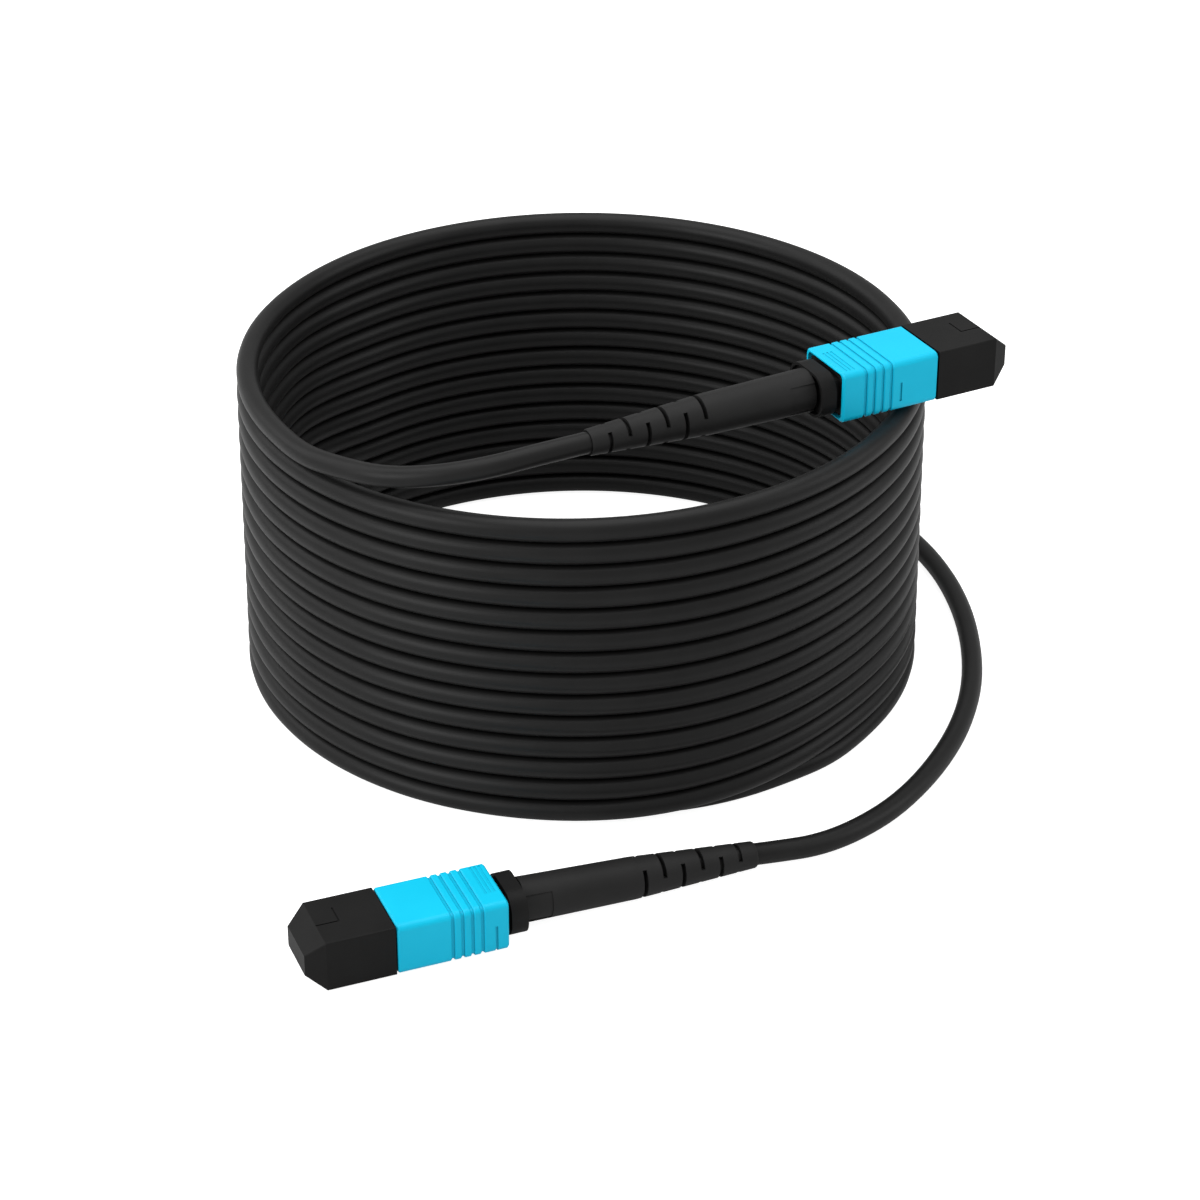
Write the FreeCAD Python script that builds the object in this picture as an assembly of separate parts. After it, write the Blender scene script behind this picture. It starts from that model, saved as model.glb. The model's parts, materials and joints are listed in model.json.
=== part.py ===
import FreeCAD, Part
import math
import os

from FreeCAD import Placement, Rotation, Vector

# MPO patch cord: a coiled round cable with a capped, push-pull MPO plug on each end.
# Each plug is built in its own frame, X = 0 at the front face of its inner housing, +X towards
# the cable, +Z up to the key, and is then set in the row frame. The row frame's origin is the
# coil's axis on the surface that it stands on, with +X from plug A's nose towards its cable.
# Sizes are in millimetres.

# ---- cable and coil ----
cable_d = 3.8
coil_r = 60.0              # centre line of the turns
coil_h = 61.0              # from the surface to the top turn
coil_full_turns = 15
coil_start = 133.5         # azimuth where the lower lead joins the turns, degrees
coil_end = 186.0           # azimuth where the top turn leaves them, degrees
jacket_bore_gap = 0.1      # cable to the bore that it passes through, on the radius

# ---- where the plugs lie ----
plug_a_x = -71.85
plug_a_y = -81.05
plug_b_x = 54.47
plug_b_y = -36.01
plug_b_turn = 186.0        # heading of plug B's cable end, degrees from +X
rest_gap = 0.1             # sleeve to what it lies on
lead_exit_run = 9.2        # straight run of each lead behind its boot
cut_over = 1.0             # how far a cutting shape runs past a face

# ---- inner housing ----
housing_w = 10.2
housing_h = 7.4
housing_l = 24.6
housing_corner = 0.7
aperture_gap = 0.1         # ferrule to the opening in the nose, all round
cavity_w = 7.6
cavity_h = 5.0
cavity_corner = 0.8
key_w = 2.4
key_h = 0.35
key_l = 5.3
key_setback = 0.4
latch_x = 5.9              # recess that an adapter's hooks catch
latch_l = 2.3
latch_h = 3.4
latch_depth = 0.8
channel_x = 9.0            # side channel of a sleeve spring
channel_setback = 4.1      # its rear end to the housing's rear
channel_h = 1.3
channel_depth = 0.8

# ---- coupling sleeve ----
sleeve_w = 12.7
sleeve_h = 9.4
sleeve_l = 19.0
sleeve_x = 5.9             # front edge, pushed fully forward
sleeve_corner = 1.1
sleeve_gap = 0.2           # sleeve to housing, all round
sleeve_bevel = 0.3         # rear edge
sleeve_lead_in = 0.3       # front edge
sleeve_mouth = 0.2         # bevel round the bore at the front
rear_bore_l = 2.0          # wider bore at the rear, which takes the flange
rear_bore_gap = 0.15       # flange to that bore, all round
rear_bore_corner = 0.9
grip_first = 9.15          # first grip groove, from the sleeve's front edge
grip_pitch = 1.7
grip_count = 4
grip_w = 0.5
grip_depth = 0.32
grip_shoulder = 0.18       # bevel on both edges of a grip groove
mark_w = 0.45              # marks in the sleeve's skin, measured from its front edge
mark_depth = 0.2
half_ring_x = 16.6         # round the lower half, behind the grooves
half_ring_roof = 0.5       # its upper end, above the axis
side_mark_x = 7.2          # on the left side, ahead of the grooves
side_mark_low = -2.9
side_mark_high = 0.6
belly_groove_x = 2.2       # across the underside, near the front
belly_groove_w = 0.9
strip_x = 16.2             # faint strips across the top, near the rear
strip_pitch = 0.75
strip_count = 3
strip_end_y = -2.6
strip_depth = 0.08
rib_l = 1.2                # rib that carries a sleeve spring's front end
rib_gap = 0.15
sleeve_channel_depth = 0.3

# ---- sleeve springs ----
side_spring_d = 1.1
side_spring_wire = 0.22
side_spring_turns = 7
spring_steps = 12          # sections in one turn of any spring
wire_sides = 6

# ---- ferrule stack ----
ferrule_w = 6.4
ferrule_h = 2.5
ferrule_l = 8.0
ferrule_out = 1.0          # tip ahead of the housing's front face
shoulder_w = 7.0
shoulder_h = 3.0
shoulder_l = 2.2
ferrule_corner = 0.15
guide_hole_d = 0.7
guide_hole_gap = 4.6
fibre_hole_d = 0.126
fibre_pitch = 0.25
fibre_count = 12
boot_pocket_w = 3.7
boot_pocket_h = 1.6
boot_pocket_l = 2.6
stack_gap = 0.05           # between the pieces nested in the ferrule
clamp_w = 7.0
clamp_h = 4.2
clamp_l = 2.0
ferrule_boot_tail = 1.4    # ferrule boot behind the clamp
ferrule_boot_corner = 0.3
ribbon_w = 3.1
ribbon_h = 0.3
ribbon_gap = 1.85          # ribbon's end to the cable's jacket

# ---- ferrule spring ----
ferrule_spring_w = 6.8
ferrule_spring_h = 4.3
ferrule_spring_wire = 0.55
ferrule_spring_turns = 5

# ---- back housing ----
plug_in_l = 5.6            # length inside the inner housing
plug_in_gap = 0.1
neck_w = 8.8
neck_h = 5.9
neck_l = 1.1
flange_w = 11.0
flange_h = 8.1
flange_l = 2.9
flange_corner = 3.3
pocket_depth = 0.8         # hollow in the flange's rear face
pocket_wall = 0.5
stub_d = 4.9
stub_l = 6.0
stub_bore = 3.4
stub_root = 0.5            # stub into the flange's web

# ---- crimp ring ----
crimp_d = 5.7
crimp_l = 4.6
crimp_gap = 0.05

# ---- strain-relief boot ----
boot_front_d = 7.8
boot_mid_d = 7.2           # where the slotted stretch starts
boot_end_d = 4.6
boot_mid_x = 48.6
boot_end_x = 70.8
boot_socket_gap = 0.3      # boot to crimp ring, which lets the boot droop
boot_rim = 0.25            # rounded edge at the cable end
panel_l = 4.8              # shallow side panels behind the flange
panel_half_angle = 42.0
panel_depth = 0.2
slot_first = 49.6
slot_count = 6
slot_tail = 2.95           # plain end behind the last slot
slot_w = 0.75
slot_angle = 124.0
slot_roll_a = 102.0        # centre of plug A's first slot, from +Z towards -Y
slot_roll_b = -14.0        # the same for plug B, whose boot is pushed on at another turn
boot_sag_a = 2.2           # droop of plug A's boot towards the surface, degrees
boot_sag_b = 0.0

# ---- dust cap ----
cap_l = 14.85
cap_w = 12.4
cap_h = 9.2
cap_grip = 5.65            # length over the housing's nose
cap_taper_l = 3.2
cap_tip_w = 9.05
cap_tip_h = 3.9
cap_edge = 0.25
cap_gap = 0.1              # cap to housing, all round
mould_line_w = 0.25        # L-shaped mark in the cap's top and underside
mould_line_depth = 0.15
mould_line_x = 7.2         # its corner, from the cap's tip
mould_line_y = -1.0
mould_line_l = 4.0
cap_roll_a = 0.0
cap_roll_b = 180.0         # the cap fits either way up

# ---- derived places along a plug ----
ferrule_tip_x = -ferrule_out
ferrule_rear_x = ferrule_tip_x + ferrule_l
shoulder_x = ferrule_rear_x - shoulder_l
clamp_rear_x = ferrule_rear_x + clamp_l
back_front_x = housing_l - plug_in_l
flange_x = housing_l + neck_l
flange_rear_x = flange_x + flange_l
pocket_x = flange_rear_x - pocket_depth
stub_end_x = pocket_x + stub_l
crimp_x = flange_rear_x + crimp_gap
jacket_x = stub_end_x + crimp_gap
ribbon_end_x = jacket_x - ribbon_gap
boot_x = flange_rear_x
slot_pitch = (boot_end_x - slot_tail - slot_w - slot_first) / (slot_count - 1)
rib_x = channel_x
spring_x = rib_x + rib_l
channel_l = housing_l - channel_setback - channel_x
spring_l = channel_x + channel_l - spring_x
spring_y = housing_w / 2 - channel_depth + side_spring_d / 2 + (
    channel_depth + sleeve_gap + sleeve_channel_depth - side_spring_d) / 2
cap_tip_x = cap_grip - cap_l
plug_z = sleeve_h / 2 + rest_gap
plug_b_z = coil_h + plug_z
coil_turns = coil_full_turns + (coil_end - coil_start) / 360


def along_boot_a(x):
    """Place on the axis of plug A's drooping boot, x millimetres behind the housing's front face."""
    sag = math.radians(boot_sag_a)
    behind = x - boot_x
    rise = boot_front_d / 2
    along = behind * math.cos(sag) + rise * math.sin(sag)
    drop = behind * math.sin(sag) + rise * (1 - math.cos(sag))
    return (plug_a_x + boot_x + along, plug_a_y, plug_z - drop)


def along_plug_b(x):
    """Place on plug B's axis, x millimetres behind its housing's front face."""
    turn = math.radians(plug_b_turn)
    return (plug_b_x + x * math.cos(turn), plug_b_y + x * math.sin(turn), plug_b_z)


# ---- the leads' routes, from plug A to the coil and from the coil to plug B ----
lead_z = cable_d / 2
lower_route = [
    along_boot_a(boot_end_x),
    along_boot_a(boot_end_x + lead_exit_run),
    (17.9, -79.8, 2.2),
    (28.6, -75.4, lead_z),
    (39.6, -67.3, lead_z),
    (50.0, -57.1, lead_z),
    (58.8, -45.1, lead_z),
    (65.5, -31.8, lead_z),
    (70.5, -17.5, lead_z),
    (73.3, -2.5, lead_z),
    (73.2, 12.6, lead_z),
    (68.9, 27.8, lead_z),
    (60.5, 40.8, lead_z),
    (49.9, 51.6, lead_z),
    (37.3, 59.7, lead_z),
    (23.6, 64.8, lead_z),
    (9.4, 67.1, lead_z),
    (-4.7, 66.6, lead_z),
    (-18.2, 63.5, lead_z),
    (-30.6, 57.6, lead_z),
    (-37.2, 50.9, lead_z),
    (-41.3, 43.5, lead_z),
]
upper_route = [
    (-59.7, -6.3, coil_h - lead_z),
    (-57.3, -16.6, coil_h - 0.9),
    (-54.4, -26.9, coil_h),
    (-49.4, -35.9, coil_h + 0.8),
    (-42.1, -42.0, coil_h + 1.7),
    (-33.8, -44.8, coil_h + 3.1),
    along_plug_b(boot_end_x + lead_exit_run),
    along_plug_b(boot_end_x),
]


# ---- shared shapes ----
def rounded_outline(x, w, h, corner):
    """Closed outline across X: a rectangle w (Y) by h (Z) with rounded corners."""
    y0 = w / 2 - corner
    z0 = h / 2 - corner
    edges = []
    corners = [(y0, z0, 0), (-y0, z0, 90), (-y0, -z0, 180), (y0, -z0, 270)]
    ends = []
    for y, z, start in corners:
        points = []
        for angle in (start, start + 45, start + 90):
            turn = math.radians(angle)
            points.append(Vector(x, y + corner * math.cos(turn), z + corner * math.sin(turn)))
        edges.append(Part.Arc(*points).toShape())
        ends.append((points[0], points[2]))
    loop = []
    for i, arc in enumerate(edges):
        loop.append(arc)
        loop.append(Part.LineSegment(ends[i][1], ends[(i + 1) % 4][0]).toShape())
    return Part.Wire(loop)


def bar(x0, x1, w, h, corner):
    """Straight bar along X with a rounded rectangular section."""
    return Part.Face(rounded_outline(x0, w, h, corner)).extrude(Vector(x1 - x0, 0, 0))


def block(x0, x1, y0, y1, z0, z1):
    """Sharp-edged block between two corners."""
    return Part.makeBox(x1 - x0, y1 - y0, z1 - z0, Vector(x0, y0, z0))


def rod(x0, x1, d, y=0.0, z=0.0):
    """Round rod along X."""
    return Part.makeCylinder(d / 2, x1 - x0, Vector(x0, y, z), Vector(1, 0, 0))


def spin(outline):
    """Solid of revolution about X of a closed list of (x, radius) points."""
    points = [Vector(x, 0, r) for x, r in outline]
    face = Part.Face(Part.makePolygon(points + points[:1]))
    return face.revolve(Vector(0, 0, 0), Vector(1, 0, 0), 360)


def wedge(x0, x1, radius, centre_angle, half_angle):
    """Sector of a disc across X, centred on an angle from +Z towards -Y."""
    sector = Part.makeCylinder(radius, x1 - x0, Vector(0, 0, 0), Vector(0, 0, 1), 2 * half_angle)
    across_x = Rotation(Vector(0, 0, 1), Vector(0, -1, 0), Vector(1, 0, 0), "XYZ")
    sector.Placement = Placement(Vector(x0, 0, 0), across_x)
    sector.rotate(Vector(0, 0, 0), Vector(1, 0, 0), centre_angle - half_angle)
    return sector


def coil_spring(x0, length, width, height, wire_d, turns, y=0.0):
    """Compression spring along X: a round or oval helix, lofted through wire_sides-gon sections."""
    ry = (width - wire_d) / 2
    rz = (height - wire_d) / 2
    rise = (length - wire_d) / (2 * math.pi * turns)
    sections = []
    for i in range(spring_steps * turns + 1):
        t = 2 * math.pi * i / spring_steps
        centre = Vector(x0 + wire_d / 2 + rise * t, y + ry * math.cos(t), rz * math.sin(t))
        along = Vector(rise, -ry * math.sin(t), rz * math.cos(t)).normalize()
        side = along.cross(Vector(1, 0, 0)).normalize()
        up = side.cross(along)
        ring = []
        for k in range(wire_sides + 1):
            turn = 2 * math.pi * k / wire_sides
            ring.append(centre + side * (wire_d / 2 * math.cos(turn)) + up * (wire_d / 2 * math.sin(turn)))
        sections.append(Part.makePolygon(ring))
    return Part.makeLoft(sections, True, True)


# ---- plug pieces, in the plug's own frame ----
def make_inner_housing():
    body = bar(0, housing_l, housing_w, housing_h, housing_corner)
    key = block(key_setback, key_setback + key_l, -key_w / 2, key_w / 2,
                housing_h / 2 - key_h, housing_h / 2 + key_h)
    body = body.fuse(key)
    nose = bar(-cut_over, shoulder_x, ferrule_w + 2 * aperture_gap,
               ferrule_h + 2 * aperture_gap, ferrule_corner)
    cavity = bar(shoulder_x, housing_l + cut_over, cavity_w, cavity_h, cavity_corner)
    body = body.cut(nose).cut(cavity)
    for side in (-1, 1):
        inner = side * (housing_w / 2 - latch_depth)
        outer = side * housing_w
        recess = block(latch_x, latch_x + latch_l, min(inner, outer), max(inner, outer),
                       -latch_h / 2, latch_h / 2)
        inner = side * (housing_w / 2 - channel_depth)
        channel = block(channel_x, channel_x + channel_l, min(inner, outer), max(inner, outer),
                        -channel_h / 2, channel_h / 2)
        body = body.cut(recess).cut(channel)
    return body


def make_coupling_sleeve():
    rear_x = sleeve_x + sleeve_l
    body = bar(sleeve_x, rear_x, sleeve_w, sleeve_h, sleeve_corner)
    rear_edges = [e for e in body.Edges if e.BoundBox.XMin > rear_x - 0.01]
    body = body.makeChamfer(sleeve_bevel, rear_edges)
    front_edges = [e for e in body.Edges if e.BoundBox.XMax < sleeve_x + 0.01]
    body = body.makeChamfer(sleeve_lead_in, front_edges)
    bore_w = housing_w + 2 * sleeve_gap
    bore_h = housing_h + 2 * sleeve_gap
    body = body.cut(bar(sleeve_x - cut_over, rear_x + cut_over, bore_w, bore_h, housing_corner))
    body = body.cut(bar(rear_x - rear_bore_l, rear_x + cut_over, flange_w + 2 * rear_bore_gap,
                        flange_h + 2 * rear_bore_gap, rear_bore_corner))
    mouth_edges = [e for e in body.Edges if e.BoundBox.XMax < sleeve_x + 0.01
                   and e.BoundBox.ZMax < bore_h / 2 + 0.01 and e.BoundBox.YMax < bore_w / 2 + 0.01
                   and e.BoundBox.ZMin > -bore_h / 2 - 0.01 and e.BoundBox.YMin > -bore_w / 2 - 0.01]
    body = body.makeChamfer(sleeve_mouth, mouth_edges)
    for i in range(grip_count):
        x0 = sleeve_x + grip_first + i * grip_pitch
        body = body.cut(grip_groove(x0))
    body = cut_sleeve_marks(body)
    for side in (-1, 1):
        outer = side * (bore_w / 2 + sleeve_channel_depth)
        channel = block(rib_x, rear_x + cut_over, min(0, outer), max(0, outer),
                        -channel_h / 2, channel_h / 2)
        body = body.cut(channel)
        tip = side * (housing_w / 2 - channel_depth + rib_gap)
        root = side * (bore_w / 2 + sleeve_channel_depth)
        rib_h = channel_h - 2 * rib_gap
        rib = block(rib_x, rib_x + rib_l, min(tip, root), max(tip, root), -rib_h / 2, rib_h / 2)
        body = body.fuse(rib)
    return body.removeSplitter()


def skin(x0, x1, depth):
    """Ring of the sleeve's outer skin, as thick as a mark is deep."""
    outside = bar(x0, x1, sleeve_w + cut_over, sleeve_h + cut_over, sleeve_corner)
    return outside.cut(bar(x0, x1, sleeve_w - 2 * depth, sleeve_h - 2 * depth, sleeve_corner - depth))


def grip_groove(x0):
    """Cutter for one groove right round the sleeve, with bevelled shoulders."""
    groove = skin(x0, x0 + grip_w, grip_depth)
    for start, end in ((x0 - grip_shoulder, x0), (x0 + grip_w + grip_shoulder, x0 + grip_w)):
        full = rounded_outline(start, sleeve_w, sleeve_h, sleeve_corner)
        inset = rounded_outline(end, sleeve_w - 2 * grip_shoulder, sleeve_h - 2 * grip_shoulder,
                                sleeve_corner - grip_shoulder)
        left = min(start, end)
        outside = bar(left, left + grip_shoulder, sleeve_w + cut_over, sleeve_h + cut_over, sleeve_corner)
        groove = groove.fuse(outside.cut(Part.makeLoft([full, inset], True, True)))
    return groove


def cut_sleeve_marks(body):
    """Shallow marks that are moulded into the sleeve's skin."""
    x0 = sleeve_x + half_ring_x
    lower = block(x0, x0 + mark_w, -sleeve_w, sleeve_w, -sleeve_h, half_ring_roof)
    right = block(x0, x0 + mark_w, -sleeve_w, sleeve_w / 2 - sleeve_corner, -sleeve_h, sleeve_h)
    body = body.cut(skin(x0, x0 + mark_w, mark_depth).common(lower).common(right))
    x0 = sleeve_x + side_mark_x
    body = body.cut(block(x0, x0 + mark_w, sleeve_w / 2 - mark_depth, sleeve_w,
                          side_mark_low, side_mark_high))
    x0 = sleeve_x + belly_groove_x
    body = body.cut(block(x0, x0 + belly_groove_w, -sleeve_w, sleeve_w, -sleeve_h, mark_depth - sleeve_h / 2))
    for i in range(strip_count):
        x0 = sleeve_x + strip_x + i * strip_pitch
        strip = block(x0, x0 + strip_pitch / 2, strip_end_y, sleeve_w / 2 - sleeve_corner,
                      sleeve_h / 2 - strip_depth, sleeve_h)
        body = body.cut(strip)
    return body


def make_sleeve_spring(side):
    return coil_spring(spring_x, spring_l, side_spring_d, side_spring_d,
                       side_spring_wire, side_spring_turns, side * spring_y)


def make_ferrule():
    body = bar(ferrule_tip_x, ferrule_rear_x, ferrule_w, ferrule_h, ferrule_corner)
    shoulder = bar(shoulder_x, ferrule_rear_x, shoulder_w, shoulder_h, ferrule_corner)
    body = body.fuse(shoulder)
    for side in (-1, 1):
        hole = rod(ferrule_tip_x - cut_over, ferrule_rear_x + cut_over, guide_hole_d,
                   side * guide_hole_gap / 2)
        body = body.cut(hole)
    first = -fibre_pitch * (fibre_count - 1) / 2
    for i in range(fibre_count):
        hole = rod(ferrule_tip_x - cut_over, ferrule_rear_x, fibre_hole_d, first + i * fibre_pitch)
        body = body.cut(hole)
    pocket_x0 = ferrule_rear_x - boot_pocket_l
    pocket = block(pocket_x0, ferrule_rear_x + cut_over, -boot_pocket_w / 2, boot_pocket_w / 2,
                   -boot_pocket_h / 2, boot_pocket_h / 2)
    return body.cut(pocket)


def make_pin_clamp():
    body = bar(ferrule_rear_x, clamp_rear_x, clamp_w, clamp_h, ferrule_corner)
    window = block(ferrule_rear_x - cut_over, clamp_rear_x + cut_over, -boot_pocket_w / 2, boot_pocket_w / 2,
                   -boot_pocket_h / 2, boot_pocket_h / 2)
    return body.cut(window)


def make_ferrule_boot():
    w = boot_pocket_w - 2 * stack_gap
    h = boot_pocket_h - 2 * stack_gap
    x0 = ferrule_rear_x - boot_pocket_l + stack_gap
    x1 = clamp_rear_x + ferrule_boot_tail
    body = bar(x0, x1, w, h, ferrule_boot_corner)
    slit = block(x0 - cut_over, x1 + cut_over, -ribbon_w / 2 - stack_gap, ribbon_w / 2 + stack_gap,
                 -ribbon_h / 2 - stack_gap, ribbon_h / 2 + stack_gap)
    return body.cut(slit)


def make_fibre_ribbon():
    return block(ferrule_rear_x - boot_pocket_l + stack_gap, ribbon_end_x, -ribbon_w / 2, ribbon_w / 2,
                 -ribbon_h / 2, ribbon_h / 2)


def make_ferrule_spring():
    length = back_front_x - clamp_rear_x
    return coil_spring(clamp_rear_x, length, ferrule_spring_w, ferrule_spring_h,
                       ferrule_spring_wire, ferrule_spring_turns)


def make_back_housing():
    inner_w = cavity_w - 2 * plug_in_gap
    inner_h = cavity_h - 2 * plug_in_gap
    body = bar(back_front_x, housing_l, inner_w, inner_h, cavity_corner)
    body = body.fuse(bar(housing_l, flange_x, neck_w, neck_h, housing_corner))
    flange = bar(flange_x, flange_rear_x, flange_w, flange_h, flange_corner)
    pocket = bar(pocket_x, flange_rear_x + cut_over, flange_w - 2 * pocket_wall,
                 flange_h - 2 * pocket_wall, flange_corner - pocket_wall)
    body = body.fuse(flange.cut(pocket))
    body = body.fuse(rod(pocket_x - stub_root, stub_end_x, stub_d))
    return body.cut(rod(back_front_x - cut_over, stub_end_x + cut_over, stub_bore)).removeSplitter()


def make_crimp_ring():
    outline = [
        (crimp_x, stub_d / 2 + crimp_gap),
        (crimp_x, crimp_d / 2),
        (crimp_x + crimp_l, crimp_d / 2),
        (crimp_x + crimp_l, stub_d / 2 + crimp_gap),
    ]
    return spin(outline)


def make_boot(first_slot_roll):
    cable_bore = cable_d / 2 + jacket_bore_gap
    socket_r = crimp_d / 2 + boot_socket_gap
    outline = [
        (boot_x, socket_r),
        (boot_x, boot_front_d / 2),
        (boot_mid_x, boot_mid_d / 2),
        (boot_end_x - boot_rim, boot_end_d / 2),
        (boot_end_x, boot_end_d / 2 - boot_rim / 2),
        (boot_end_x, cable_bore),
        (jacket_x, cable_bore),
        (jacket_x, socket_r),
    ]
    body = spin(outline)
    for k in range(slot_count):
        x0 = slot_first + k * slot_pitch
        ring = rod(x0, x0 + slot_w, boot_front_d).cut(rod(x0, x0 + slot_w, 2 * cable_bore))
        for side in (0, 180):
            centre = first_slot_roll + 90 * k + side
            body = body.cut(ring.common(wedge(x0, x0 + slot_w, boot_front_d, centre, slot_angle / 2)))
    for side in (90, 270):
        panel = wedge(flange_rear_x, flange_rear_x + panel_l, boot_front_d, side, panel_half_angle)
        kept = rod(flange_rear_x, flange_rear_x + panel_l, boot_front_d - 2 * panel_depth)
        body = body.cut(panel.cut(kept))
    return body


def make_cable_end():
    return rod(jacket_x, boot_end_x, cable_d)


def droop(shape, sag):
    """Turn a boot piece downwards about the lower edge of the boot's front face."""
    shape.rotate(Vector(boot_x, 0, -boot_front_d / 2), Vector(0, 1, 0), sag)
    return shape


def make_dust_cap():
    shoulder = cap_tip_x + cap_taper_l
    body = bar(shoulder, cap_grip, cap_w, cap_h, cap_edge)
    tip = Part.makeLoft([rounded_outline(cap_tip_x, cap_tip_w, cap_tip_h, cap_edge),
                         rounded_outline(shoulder, cap_w, cap_h, cap_edge)], True, True)
    body = body.fuse(tip).removeSplitter()
    inner_w = housing_w + 2 * cap_gap
    inner_h = housing_h + 2 * cap_gap
    body = body.cut(bar(shoulder, cap_grip + cut_over, inner_w, inner_h, housing_corner))
    key_half = key_w / 2 + cap_gap
    key_top = housing_h / 2 + key_h + cap_gap
    body = body.cut(block(key_setback - cap_gap, cap_grip + cut_over, -key_half, key_half, -key_top, key_top))
    x1 = cap_tip_x + mould_line_x
    y1 = mould_line_y + mould_line_w
    floor = cap_h / 2 - mould_line_depth
    for z0, z1 in ((floor, cap_h), (-cap_h, -floor)):
        body = body.cut(block(shoulder, x1, mould_line_y, y1, z0, z1))
        body = body.cut(block(x1 - mould_line_w, x1, mould_line_y, mould_line_y + mould_line_l, z0, z1))
    return body


# ---- cord ----
def tube(route, name):
    """Round tube along straight runs joined by tangent arcs, with its radii printed."""
    points = [Vector(*p) for p in route]
    edges = []
    length = 0.0
    radii = []
    here = points[0]
    for i in range(1, len(points) - 1):
        before = points[i] - points[i - 1]
        after = points[i + 1] - points[i]
        turn = before.getAngle(after)
        trim = 0.45 * min(before.Length, after.Length)
        radius = trim / math.tan(turn / 2)
        radii.append(radius)
        into = before.normalize()
        out = after.normalize()
        start = points[i] - into * trim
        end = points[i] + out * trim
        inward = (out - into).normalize()
        centre = points[i] + inward * (radius / math.cos(turn / 2))
        edges.append(Part.LineSegment(here, start).toShape())
        edges.append(Part.Arc(start, centre - inward * radius, end).toShape())
        length += (start - here).Length + radius * turn
        here = end
    edges.append(Part.LineSegment(here, points[-1]).toShape())
    length += (points[-1] - here).Length
    path = Part.Wire(edges)
    section = Part.Wire(Part.makeCircle(cable_d / 2, points[0], points[1] - points[0]))
    solid = path.makePipeShell([section], True, True)
    expected = math.pi * (cable_d / 2) ** 2 * length
    print(name, "length %.1f" % length, "volume ratio %.4f" % (solid.Volume / expected),
          "arc radii", [round(r, 1) for r in radii])
    return solid


def make_coil():
    outer = Part.makeCylinder(coil_r + cable_d / 2, coil_h)
    inner = Part.makeCylinder(coil_r - cable_d / 2, coil_h)
    return outer.cut(inner)


# ---- assembly ----
def plug_pieces(cap_roll, first_slot_roll, boot_sag):
    """One plug's pieces by name, in the plug's own frame."""
    cap = make_dust_cap()
    cap.rotate(Vector(0, 0, 0), Vector(1, 0, 0), cap_roll)
    return {
        "dust_cap": cap,
        "coupling_sleeve": make_coupling_sleeve(),
        "sleeve_spring_left": make_sleeve_spring(1),
        "sleeve_spring_right": make_sleeve_spring(-1),
        "inner_housing": make_inner_housing(),
        "ferrule": make_ferrule(),
        "pin_clamp": make_pin_clamp(),
        "ferrule_boot": make_ferrule_boot(),
        "fibre_ribbon": make_fibre_ribbon(),
        "ferrule_spring": make_ferrule_spring(),
        "back_housing": make_back_housing(),
        "crimp_ring": make_crimp_ring(),
        "strain_relief_boot": droop(make_boot(first_slot_roll), boot_sag),
        "cable_end": droop(make_cable_end(), boot_sag),
    }


def main():
    os.makedirs("parts", exist_ok=True)
    up = Vector(0, 0, 1)
    place_a = Placement(Vector(plug_a_x, plug_a_y, plug_z), Rotation(up, 0))
    place_b = Placement(Vector(*along_plug_b(0)), Rotation(up, plug_b_turn))
    nodes = {}
    for name, shape in plug_pieces(cap_roll_a, slot_roll_a, boot_sag_a).items():
        nodes[name + "_a"] = shape.transformed(place_a.toMatrix())
    for name, shape in plug_pieces(cap_roll_b, slot_roll_b, boot_sag_b).items():
        nodes[name + "_b"] = shape.transformed(place_b.toMatrix())
    nodes["coil"] = make_coil()
    nodes["lower_lead"] = tube(lower_route, "lower lead")
    nodes["upper_lead"] = tube(upper_route, "upper lead")
    print("coil: %.3f turns, %.0f mm of cable" % (coil_turns, coil_turns * 2 * math.pi * coil_r))
    for name, shape in nodes.items():
        if not shape.isValid() or len(shape.Solids) != 1:
            print("check", name, "valid", shape.isValid(), "solids", len(shape.Solids))
        shape.exportStep("parts/" + name + ".step")


main()
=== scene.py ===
import json
import math

import bpy
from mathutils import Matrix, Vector

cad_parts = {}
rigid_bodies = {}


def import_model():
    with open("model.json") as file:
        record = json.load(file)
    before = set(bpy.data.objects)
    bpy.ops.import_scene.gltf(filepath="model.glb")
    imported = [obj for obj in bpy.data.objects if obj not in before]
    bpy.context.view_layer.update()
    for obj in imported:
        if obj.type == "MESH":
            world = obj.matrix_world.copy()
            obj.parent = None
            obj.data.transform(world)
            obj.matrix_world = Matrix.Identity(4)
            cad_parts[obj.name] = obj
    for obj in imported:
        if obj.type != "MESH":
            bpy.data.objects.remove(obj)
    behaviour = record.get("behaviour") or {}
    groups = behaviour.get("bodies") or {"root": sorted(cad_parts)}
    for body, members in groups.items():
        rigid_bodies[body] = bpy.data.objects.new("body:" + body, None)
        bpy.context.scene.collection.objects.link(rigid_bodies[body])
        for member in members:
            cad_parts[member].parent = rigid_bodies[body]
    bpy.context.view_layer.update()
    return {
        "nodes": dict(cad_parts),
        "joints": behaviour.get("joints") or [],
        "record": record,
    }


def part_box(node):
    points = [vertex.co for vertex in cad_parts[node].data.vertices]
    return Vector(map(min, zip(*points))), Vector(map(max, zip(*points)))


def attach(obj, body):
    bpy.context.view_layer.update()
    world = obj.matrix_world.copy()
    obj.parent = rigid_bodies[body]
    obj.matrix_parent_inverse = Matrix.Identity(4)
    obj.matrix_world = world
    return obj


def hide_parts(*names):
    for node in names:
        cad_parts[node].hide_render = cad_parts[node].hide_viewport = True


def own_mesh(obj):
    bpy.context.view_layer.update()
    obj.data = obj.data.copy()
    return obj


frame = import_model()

# The dressed MPO patch cord: the frame's plugs with their finishes, and one cable drawn turn by
# turn in place of the plain ring and the two plain leads. Lengths are in metres.

MM = 0.001                                 # a millimetre in metres

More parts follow.
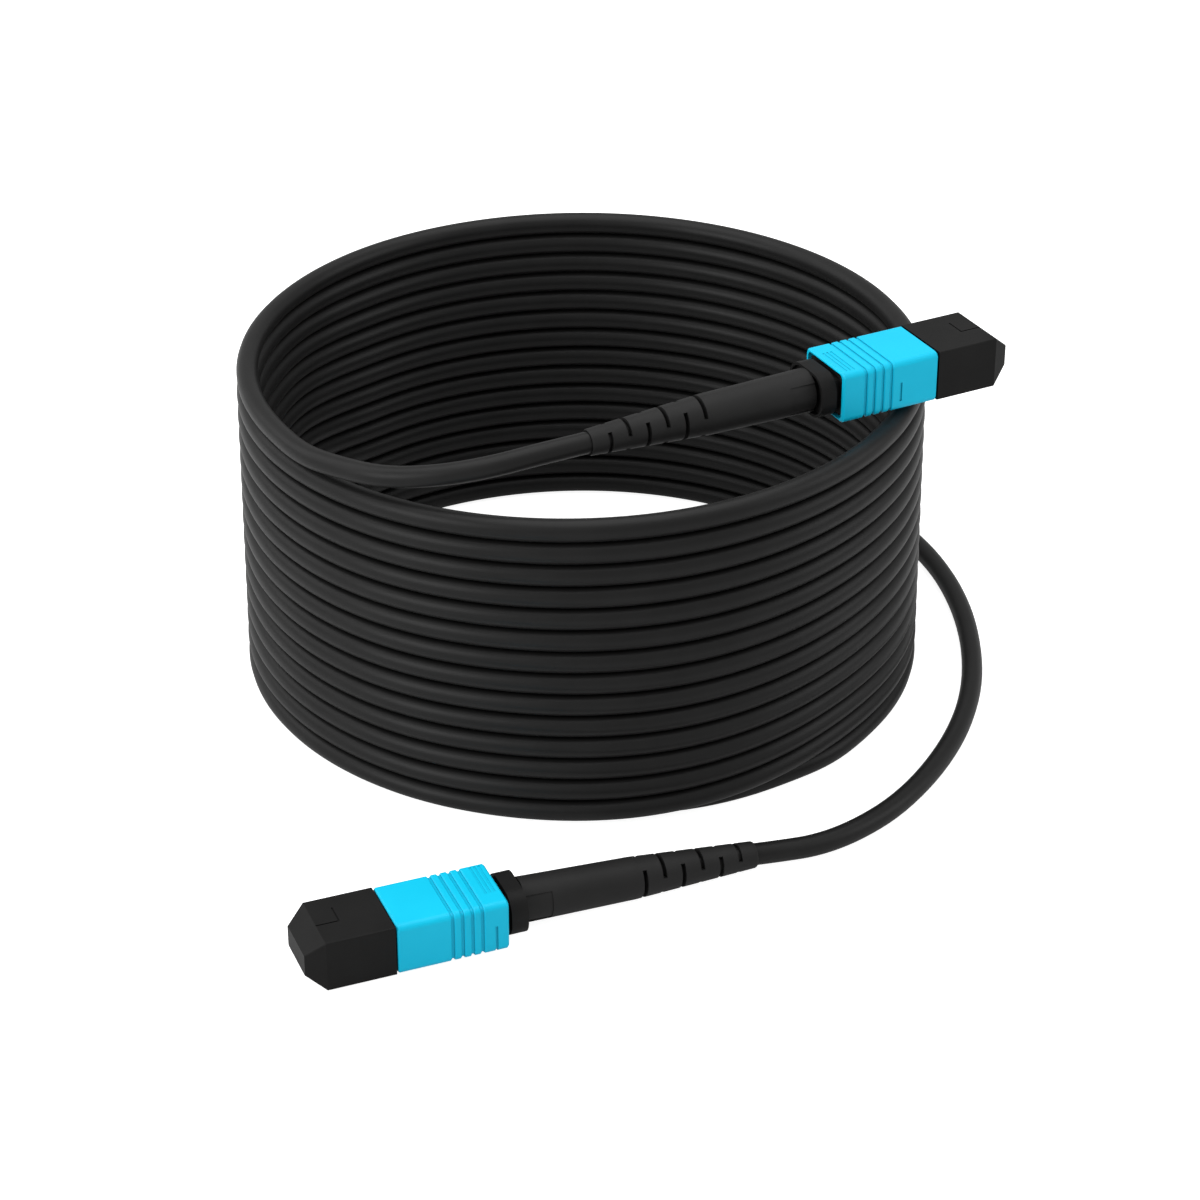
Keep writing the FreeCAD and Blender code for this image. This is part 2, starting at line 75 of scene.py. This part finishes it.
# ---- camera ----
camera_target = Vector((3.09, -1.23, 8.75)) * MM
camera_distance = 627.7 * MM
camera_azimuth = math.radians(21.69)       # to the left of straight in front
camera_elevation = math.radians(30.09)
camera_lens = 100.85                       # on a sensor 36 mm wide

# ---- cable ----
cable_d = 3.8 * MM
coil_r = 60.4 * MM                         # centre line of the turns at the floor
coil_taper = 0.5 * MM                      # how much smaller the top turn is
coil_lean = Vector((-0.15, -0.3, 0.0)) * MM  # shift of the lowest turn, none at the top
coil_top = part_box("coil")[1][2]
coil_turns = 15
turns_start = 159.0                        # azimuth in degrees, which runs on from turn to turn
turns_end = 186.0 + 360.0 * coil_turns
points_per_turn = 40
turn_fullness = 1.05                       # the stacked turns look this much thicker than the leads
thickening = 90.0                          # degrees over which they gain it at both ends
turn_d = cable_d * turn_fullness
floor_z = turn_d / 2                       # centre line of a turn that lies on the floor
top_z = coil_top - turn_d / 2
pitch = (top_z - floor_z) / (coil_turns - 1)
climb_middle = 262.0                       # each turn climbs by one pitch round this azimuth
climb_width = 76.0                         # over this angle in the second turn
climb_widening = 12.0                      # and over this much more in each later turn
swell = 2.4 * MM                           # bulge of the lowest turns where the second one climbs
swell_middle = 266.0
swell_half_width = 38.0
crossing = 133.5                           # azimuth where the floor lead passes under the turns
hump_half_width = 20.0
side_gap = 4.0 * MM                        # between centre lines where the first turn lies inside

lower_lead_points = [                      # millimetres, from plug A's boot to the turns
    (-0.93, -81.05, 3.18),
    (4.6, -81.1, 2.6),
    (11.0, -80.95, 2.0),
    (18.7, -79.4, 1.9),
    (28.6, -75.2, 1.9),
    (39.6, -67.3, 1.9),
    (50.0, -57.1, 1.9),
    (58.8, -45.1, 1.9),
    (65.5, -31.8, 1.9),
    (70.5, -17.5, 1.9),
    (73.3, -2.5, 1.9),
    (73.2, 12.6, 1.9),
    (68.9, 27.8, 1.9),
    (60.5, 40.8, 1.9),
    (49.9, 51.6, 1.9),
    (37.3, 59.7, 1.9),
    (23.6, 64.8, 1.9),
    (9.4, 67.1, 1.9),
    (-4.7, 66.6, 1.9),
    (-18.2, 63.5, 1.9),
    (-30.6, 57.6, 1.9),
    (-37.8, 50.8, 1.9),
    (-41.7, 43.2, 1.9),
    (-44.4, 35.5, 1.9),
    (-48.4, 28.2, 1.9),
]
upper_lead_points = [                      # from the turns to plug B's boot
    (-58.0, -18.7, 59.6),
    (-54.3, -26.5, 60.4),
    (-49.1, -34.9, 61.5),
    (-41.6, -40.4, 63.0),
    (-33.4, -43.8, 64.7),
    (-25.09, -44.37, 65.8),
    (-15.94, -43.41, 65.8),
]


def make_camera():
    """The camera, aimed at its target from the front left and above."""
    back = Vector((
        -math.sin(camera_azimuth) * math.cos(camera_elevation),
        -math.cos(camera_azimuth) * math.cos(camera_elevation),
        math.sin(camera_elevation),
    ))
    data = bpy.data.cameras.new("camera")
    data.lens = camera_lens
    data.sensor_width = 36.0
    data.clip_start = 0.01
    data.clip_end = 20.0
    camera = bpy.data.objects.new("camera", data)
    camera.location = camera_target + back * camera_distance
    camera.rotation_euler = (math.pi / 2 - camera_elevation, 0.0, -camera_azimuth)
    bpy.context.collection.objects.link(camera)
    bpy.context.scene.camera = camera


def smooth_step(t):
    """0 below 0, 1 above 1, and an even S-curve between."""
    t = min(1.0, max(0.0, t))
    return t * t * (3 - 2 * t)


def climb_share(azimuth, turn):
    """How far a turn has climbed onto the one below it, from 0 to 1."""
    width = climb_width + climb_widening * (turn - 1)
    return smooth_step((azimuth - climb_middle - 360 * turn) / width + 0.5)


def hump_share(azimuth):
    """1 where the turns pass over the floor lead, falling to 0 on both sides."""
    offset = abs((azimuth - crossing + 180) % 360 - 180)
    if offset > hump_half_width:
        return 0.0
    return math.cos(math.pi / 2 * offset / hump_half_width) ** 2


def fullness(azimuth):
    """A turn's thickness as a share of the leads': 1 at both ends and where a hump presses it."""
    ends = smooth_step(min(azimuth - turns_start, turns_end - azimuth) / thickening)
    return 1 + (turn_fullness - 1) * ends * (1 - hump_share(azimuth))


def turn_place(azimuth):
    """Centre line of the turns at an azimuth."""
    z = floor_z + pitch * sum(climb_share(azimuth, turn) for turn in range(1, coil_turns))
    low_share = 1 - (z - floor_z) / (top_z - floor_z)
    radius = coil_r - coil_taper * (1 - low_share)
    if azimuth < 360:                      # the first turn starts inside the second
        above = pitch * climb_share(azimuth + 360, 1)
        radius -= math.sqrt(max(0.0, side_gap ** 2 - above ** 2))
    from_middle = abs((azimuth - swell_middle + 180) % 360 - 180)
    if from_middle < swell_half_width:
        radius += swell * low_share * math.cos(math.pi / 2 * from_middle / swell_half_width) ** 2
    turns_below = round((azimuth - crossing) / 360) - 1
    z += hump_share(azimuth) * max(0.0, cable_d - (pitch - cable_d) * turns_below)
    angle = math.radians(azimuth)
    return Vector((radius * math.cos(angle), radius * math.sin(angle), z)) + coil_lean * low_share


def cord_points():
    """The cable's route from plug A's boot to plug B's, with its thickness at each point."""
    steps = round((turns_end - turns_start) / 360 * points_per_turn)
    points = [(Vector(p) * MM, 1.0) for p in lower_lead_points]
    for i in range(steps + 1):
        azimuth = turns_start + (turns_end - turns_start) * i / steps
        points.append((turn_place(azimuth), fullness(azimuth)))
    return points + [(Vector(p) * MM, 1.0) for p in upper_lead_points]


def make_cord(finish):
    """The whole cable as one smooth round curve, in place of the coil and both leads."""
    curve = bpy.data.curves.new("fibre_cable", "CURVE")
    curve.dimensions = "3D"
    curve.resolution_u = 5
    curve.bevel_depth = cable_d / 2
    curve.bevel_resolution = 6
    spline = curve.splines.new("NURBS")
    points = cord_points()
    spline.points.add(len(points) - 1)
    for point, (place, share) in zip(spline.points, points):
        point.co = (*place, 1.0)
        point.radius = share
    spline.order_u = 3
    spline.use_endpoint_u = True
    cord = bpy.data.objects.new("fibre_cable", curve)
    bpy.context.collection.objects.link(cord)
    curve.materials.append(finish)
    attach(cord, "patch_cord")
    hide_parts("coil", "lower_lead", "upper_lead")


# ---- materials ----
noise_low, noise_high = 0.3, 0.7           # nearly all of a noise pattern lies between these
drift_scale = 120.0                        # blobs to the metre of the slow drift in colour
streak_scale = 9000.0                      # and of the streaks on drawn metal, across them
streak_stretch = 0.1                       # share of that along them
streak_depth = 0.004 * MM
crease_painted_shade = 0.3                         # share of the colour left under the painted shade at the bottom of a crease
crease_closed, crease_open = 0.2, 0.75     # open sky at its bottom, and where the painted shade starts
crease_reach = 0.6 * MM                    # width of the painted shade in the creases between mouldings
turn_crease_reach = 0.9 * MM               # and of the painted shade between turns of the cable


def new_material(name):
    """A node material: its tree, its shader and its object coordinates."""
    material = bpy.data.materials.new(name)
    material.use_nodes = True
    tree = material.node_tree
    shader = tree.nodes["Principled BSDF"]
    places = tree.nodes.new("ShaderNodeTexCoord")
    return material, tree, shader, places.outputs["Object"]


def noise(tree, places, scale, detail):
    """A noise pattern with that many blobs to the metre, and octaves of detail."""
    node = tree.nodes.new("ShaderNodeTexNoise")
    node.inputs["Scale"].default_value = scale
    node.inputs["Detail"].default_value = detail
    tree.links.new(places, node.inputs["Vector"])
    return node.outputs["Fac"]


def blend_colours(tree, factor, dark, light):
    """Colour that runs from dark to light with the factor."""
    ramp = tree.nodes.new("ShaderNodeValToRGB")
    ramp.color_ramp.elements[0].position = noise_low
    ramp.color_ramp.elements[0].color = (*dark, 1.0)
    ramp.color_ramp.elements[1].position = noise_high
    ramp.color_ramp.elements[1].color = (*light, 1.0)
    tree.links.new(factor, ramp.inputs["Fac"])
    return ramp.outputs["Color"]


def spread(tree, factor, low, high):
    """Number that runs from low to high with the factor."""
    node = tree.nodes.new("ShaderNodeMapRange")
    node.inputs["From Min"].default_value = noise_low
    node.inputs["From Max"].default_value = noise_high
    node.inputs["To Min"].default_value = low
    node.inputs["To Max"].default_value = high
    tree.links.new(factor, node.inputs["Value"])
    return node.outputs["Result"]


def add_bump(tree, shader, height, depth):
    """Bump of that depth from a height pattern."""
    bump = tree.nodes.new("ShaderNodeBump")
    bump.inputs["Strength"].default_value = 1.0
    bump.inputs["Distance"].default_value = depth
    tree.links.new(height, bump.inputs["Height"])
    tree.links.new(bump.outputs["Normal"], shader.inputs["Normal"])


def darken_with_painted_shade(tree, colour, reach):
    """The colour, darkened with painted shade where a crease is narrower than reach."""
    open_sky = tree.nodes.new("ShaderNodeAmbientOcclusion")
    open_sky.samples = 6
    open_sky.inputs["Distance"].default_value = reach
    scale = tree.nodes.new("ShaderNodeMapRange")
    scale.inputs["From Min"].default_value = crease_closed
    scale.inputs["From Max"].default_value = crease_open
    scale.inputs["To Min"].default_value = crease_painted_shade
    tree.links.new(open_sky.outputs["AO"], scale.inputs["Value"])
    darken = tree.nodes.new("ShaderNodeVectorMath")
    darken.operation = "SCALE"
    tree.links.new(colour, darken.inputs[0])
    tree.links.new(scale.outputs["Result"], darken.inputs["Scale"])
    return darken.outputs["Vector"]


def moulded(name, dark, light, rough, grain, depth, gloss=0.5, crease=crease_reach):
    """Moulded plastic or rubber with a fine grain, a slight drift in colour and painted shade in
    its creases.
    """
    material, tree, shader, places = new_material(name)
    drift = noise(tree, places, drift_scale, 3.0)
    fine = noise(tree, places, grain, 2.0)
    # painted shade: the colour is darkened where ambient occlusion finds a crease
    colour = darken_with_painted_shade(tree, blend_colours(tree, drift, dark, light), crease)
    tree.links.new(colour, shader.inputs["Base Color"])
    tree.links.new(spread(tree, fine, *rough), shader.inputs["Roughness"])
    shader.inputs["Specular IOR Level"].default_value = gloss
    add_bump(tree, shader, fine, depth)
    return material


def brushed_metal(name, dark, light, rough):
    """Drawn or turned metal with fine streaks along X."""
    material, tree, shader, places = new_material(name)
    stretch = tree.nodes.new("ShaderNodeMapping")
    stretch.inputs["Scale"].default_value = (streak_stretch, 1.0, 1.0)
    tree.links.new(places, stretch.inputs["Vector"])
    streaks = noise(tree, stretch.outputs["Vector"], streak_scale, 3.0)
    tree.links.new(blend_colours(tree, streaks, dark, light), shader.inputs["Base Color"])
    tree.links.new(spread(tree, streaks, *rough), shader.inputs["Roughness"])
    shader.inputs["Metallic"].default_value = 1.0
    add_bump(tree, shader, streaks, streak_depth)
    return material


moulded_finishes = {
    "black_plastic": dict(
        dark=(0.009, 0.0089, 0.0088), light=(0.0115, 0.0114, 0.0113),
        rough=(0.44, 0.54), grain=6000.0, depth=0.004 * MM, gloss=0.08),
    "aqua_plastic": dict(
        dark=(0.001, 0.475, 0.7), light=(0.002, 0.5, 0.73),
        rough=(0.4, 0.5), grain=5000.0, depth=0.004 * MM, gloss=0.18),
    "boot_rubber": dict(
        dark=(0.0135, 0.0134, 0.0133), light=(0.0165, 0.0164, 0.0163),
        rough=(0.48, 0.58), grain=7000.0, depth=0.006 * MM, gloss=0.14),
    "cable_jacket": dict(
        dark=(0.01, 0.0099, 0.0098), light=(0.0124, 0.0123, 0.0122),
        rough=(0.36, 0.46), grain=6000.0, depth=0.004 * MM, gloss=0.15,
        crease=turn_crease_reach),
    "ferrule_resin": dict(
        dark=(0.035, 0.024, 0.02), light=(0.055, 0.04, 0.033),
        rough=(0.45, 0.6), grain=12000.0, depth=0.004 * MM),
    "soft_rubber": dict(
        dark=(0.03, 0.03, 0.03), light=(0.05, 0.05, 0.05),
        rough=(0.6, 0.75), grain=9000.0, depth=0.006 * MM),
    "coated_fibre": dict(
        dark=(0.3, 0.6, 0.6), light=(0.4, 0.7, 0.7),
        rough=(0.35, 0.5), grain=4000.0, depth=0.003 * MM),
}
metal_finishes = {
    "spring_steel": dict(
        dark=(0.45, 0.45, 0.46), light=(0.62, 0.62, 0.63), rough=(0.22, 0.36)),
    "crimp_metal": dict(
        dark=(0.6, 0.6, 0.61), light=(0.74, 0.74, 0.74), rough=(0.3, 0.42)),
}


def make_materials():
    """Every finish, by the record's slot name."""
    finishes = {name: moulded(name, **look) for name, look in moulded_finishes.items()}
    for name, look in metal_finishes.items():
        finishes[name] = brushed_metal(name, **look)
    return finishes


def dress_nodes(finishes):
    """Gives each of the frame's solids the finish of its slot."""
    slots = {part["node"]: part["material_slot"] for part in frame["record"]["subparts"]}
    for name, node in frame["nodes"].items():
        finish = finishes[slots[name]]
        node.data.materials.clear()
        node.data.materials.append(finish)


def make_spring(node_name, joint_name):
    """A copy of the frame's spring, carried by the body its joint hangs from, in place of the
    frame's one.
    """
    joint = next(joint for joint in frame["joints"] if joint["name"] == joint_name)
    spring = bpy.data.objects.new("coiled_" + node_name, frame["nodes"][node_name].data.copy())
    bpy.context.collection.objects.link(spring)
    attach(spring, joint["parent"])
    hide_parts(node_name)
    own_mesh(spring)


def make_springs():
    """All six springs, with the finish that their nodes already have."""
    for plug in "ab":
        make_spring("sleeve_spring_left_" + plug, "sleeve_" + plug + "_slide")
        make_spring("sleeve_spring_right_" + plug, "sleeve_" + plug + "_slide")
        make_spring("ferrule_spring_" + plug, "ferrule_" + plug + "_float")


# ---- studio ----
floor_size = 12.0
floor_drop = 0.2 * MM                      # keeps the floor clear of the cable that lies on it
floor_grey = 0.55
floor_glow = 0.2                           # what it gives the part
floor_glow_seen = 0.92                     # what the camera sees of it
world_glow = 0.5
light_target = (0.0, 0.0, 0.03)
lights = {                                 # place, size of the square and power
    "top_light": ((0.0, 0.1, 1.1), 1.2, 10.1),
    "back_light": ((-0.75, 0.6, 0.65), 0.8, 3.3),
    "left_light": ((-0.97, -0.25, 0.45), 0.6, 5.2),
    "right_light": ((0.9, -0.4, 0.5), 0.6, 2.5),
}


def make_floor():
    """A plain white floor, brighter to the camera than to the part, so its shadows stay faint."""
    bpy.ops.mesh.primitive_plane_add(size=floor_size, location=(0.0, 0.0, -floor_drop))
    floor = bpy.context.object
    floor.name = "studio_floor"
    material, tree, shader, _ = new_material("studio_floor")
    shader.inputs["Base Color"].default_value = (floor_grey, floor_grey, floor_grey, 1.0)
    shader.inputs["Roughness"].default_value = 0.9
    shader.inputs["Specular IOR Level"].default_value = 0.0
    shader.inputs["Emission Color"].default_value = (1.0, 1.0, 1.0, 1.0)
    seen = tree.nodes.new("ShaderNodeLightPath")
    glow = tree.nodes.new("ShaderNodeMapRange")
    glow.inputs["To Min"].default_value = floor_glow
    glow.inputs["To Max"].default_value = floor_glow_seen
    tree.links.new(seen.outputs["Is Camera Ray"], glow.inputs["Value"])
    tree.links.new(glow.outputs["Result"], shader.inputs["Emission Strength"])
    floor.data.materials.append(material)


def make_light(name, place, size, power):
    """A square soft light that faces the part."""
    data = bpy.data.lights.new(name, "AREA")
    data.shape = "SQUARE"
    data.size = size
    data.energy = power
    light = bpy.data.objects.new(name, data)
    light.location = place
    direction = Vector(light_target) - Vector(place)
    light.rotation_euler = direction.to_track_quat("-Z", "Y").to_euler()
    bpy.context.collection.objects.link(light)


def make_studio():
    """The floor, the lights and an even glow from all round."""
    make_floor()
    for name, (place, size, power) in lights.items():
        make_light(name, place, size, power)
    world = bpy.data.worlds.new("studio_world")
    bpy.context.scene.world = world
    world.use_nodes = True
    background = world.node_tree.nodes["Background"]
    background.inputs["Color"].default_value = (1.0, 1.0, 1.0, 1.0)
    background.inputs["Strength"].default_value = world_glow
    bpy.context.scene.view_settings.view_transform = "Standard"


make_camera()
finishes = make_materials()
make_cord(finishes["cable_jacket"])
dress_nodes(finishes)
make_springs()
make_studio()
